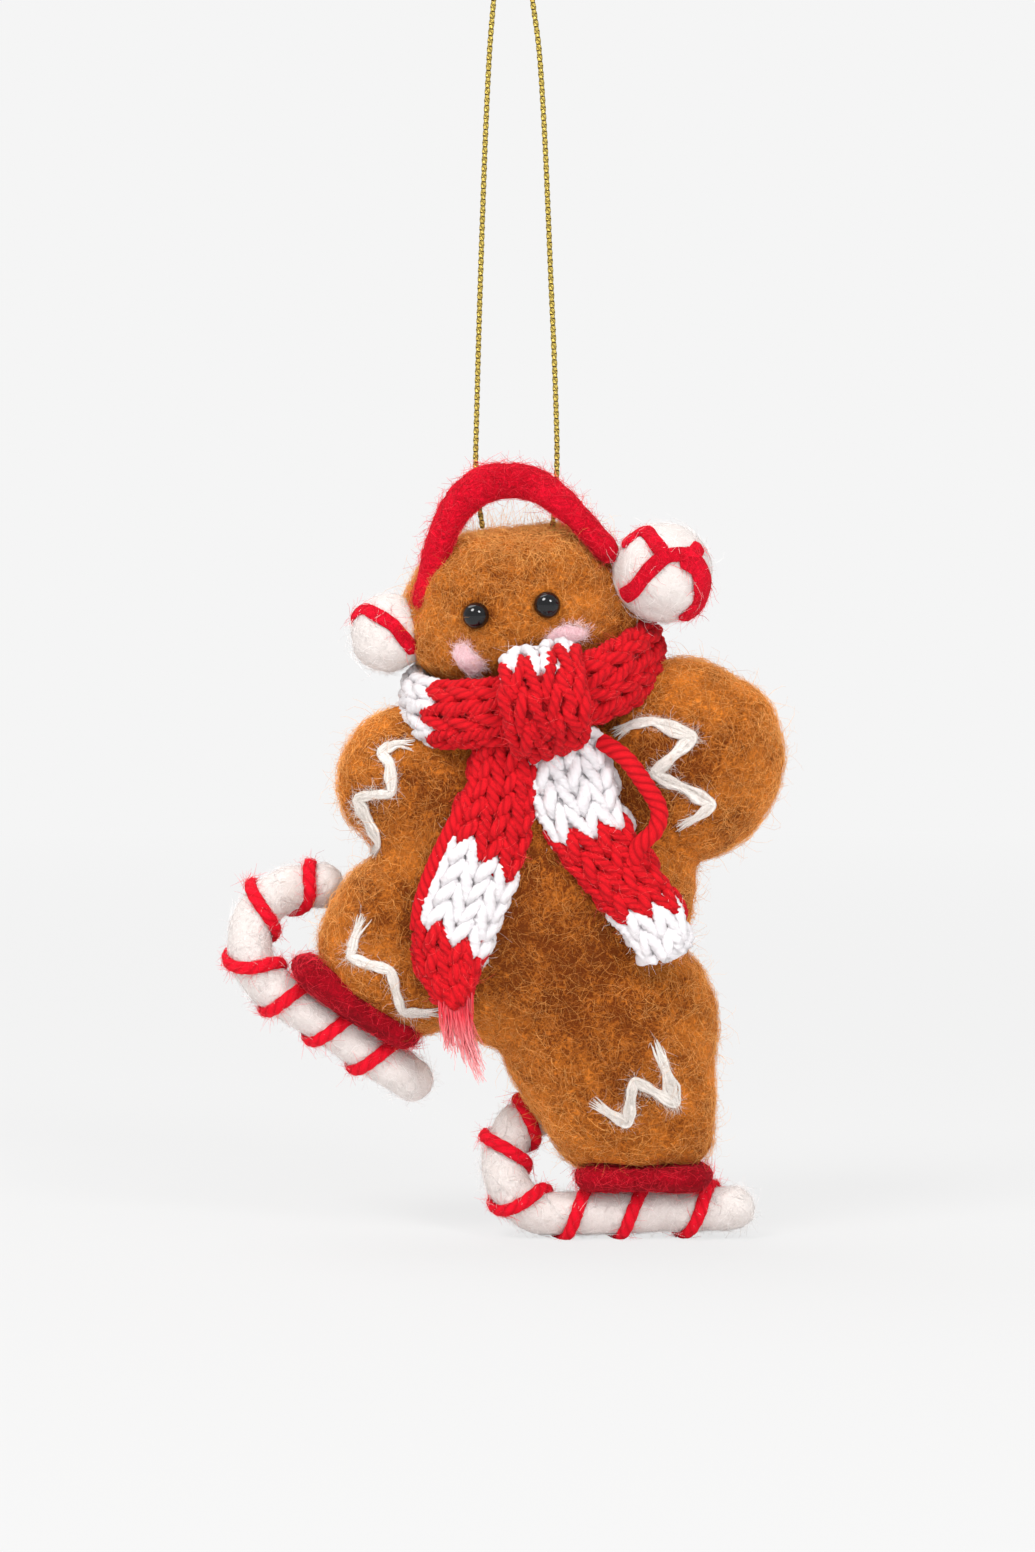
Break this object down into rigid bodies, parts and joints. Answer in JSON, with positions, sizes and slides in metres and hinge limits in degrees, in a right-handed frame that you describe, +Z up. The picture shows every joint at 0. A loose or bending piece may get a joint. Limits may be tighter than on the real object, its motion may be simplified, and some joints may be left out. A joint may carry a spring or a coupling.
{
  "type": "gingerbread man ornament",
  "caption": "Felted gingerbread figure with bead eyes, earmuffs on a headband, knotted knit scarf, zigzag icing and candy cane skates, hung on a thin cord loop; its scarf tails lift.",
  "frame": {"origin": "inside of the top bend of the hanging cord, where a hook or twig holds it", "axes": "+X to the right of someone who faces the figure, -Y towards them, +Z up along the hanging cord"},
  "size_m": [0.0868, 0.037, 0.2006],
  "materials": {
    "felt": "matte, hairy felt",
    "bead": "high gloss",
    "pink_wool": "matte wool",
    "icing_wool": "matte wool",
    "scarf_yarn": "soft plied yarn",
    "red_wool": "matte wool",
    "wire": "plain",
    "white_wool": "matte felt",
    "cord": "metallic twist"
  },
  "bodies": {
    "hanger": {"loop_cord": "cord"},
    "hanger_legs": {"loop_leg_left": "cord", "loop_leg_right": "cord"},
    "figure": {"torso": "felt", "head": "felt", "arm_left": "felt", "arm_right": "felt", "leg_standing": "felt", "leg_raised": "felt", "eye_left": "bead", "eye_right": "bead", "cheek_left": "pink_wool", "cheek_right": "pink_wool", "icing_arm_left": "icing_wool", "icing_arm_right": "icing_wool", "icing_leg_raised": "icing_wool", "icing_leg_standing": "icing_wool", "scarf_collar": "scarf_yarn", "scarf_knot": "scarf_yarn", "headband": "red_wool", "stripe_right_upper": "red_wool", "stripe_right_cross": "red_wool", "stripe_right_wide": "red_wool", "stripe_left": "red_wool", "cane_yarn_raised": "red_wool", "cane_yarn_standing": "red_wool", "boot_raised": "red_wool", "boot_standing": "red_wool", "headband_wire": "wire", "earmuff_left": "white_wool", "earmuff_right": "white_wool", "cane_raised": "white_wool", "cane_standing": "white_wool", "cord_knot_left": "cord", "cord_knot_right": "cord"},
    "tail_left": {"scarf_tail_left": "scarf_yarn", "scarf_float_left": "scarf_yarn", "scarf_fringe": "scarf_yarn"},
    "tail_right": {"scarf_tail_right": "scarf_yarn", "scarf_float_right": "scarf_yarn"}
  },
  "joints": [
    {"name": "spin", "type": "hinge", "parent": "hanger", "child": "hanger_legs", "pos_m": [0.0002, 0, -0.073], "axis": [0, 0, 1], "range_deg": [-180, 180]},
    {"name": "nod", "type": "hinge", "parent": "hanger_legs", "child": "figure", "pos_m": [0.0004, 0, -0.08865], "axis": [0.9973, 0, 0.0739], "range_deg": [0, 60]},
    {"name": "tail_left_lift", "type": "hinge", "parent": "figure", "child": "tail_left", "pos_m": [-0.0031, -0.0105, -0.1256], "axis": [-1, 0, 0], "range_deg": [0, 50]},
    {"name": "tail_right_lift", "type": "hinge", "parent": "figure", "child": "tail_right", "pos_m": [0.0082, -0.0105, -0.1256], "axis": [-1, 0, 0], "range_deg": [0, 50]}
  ]
}
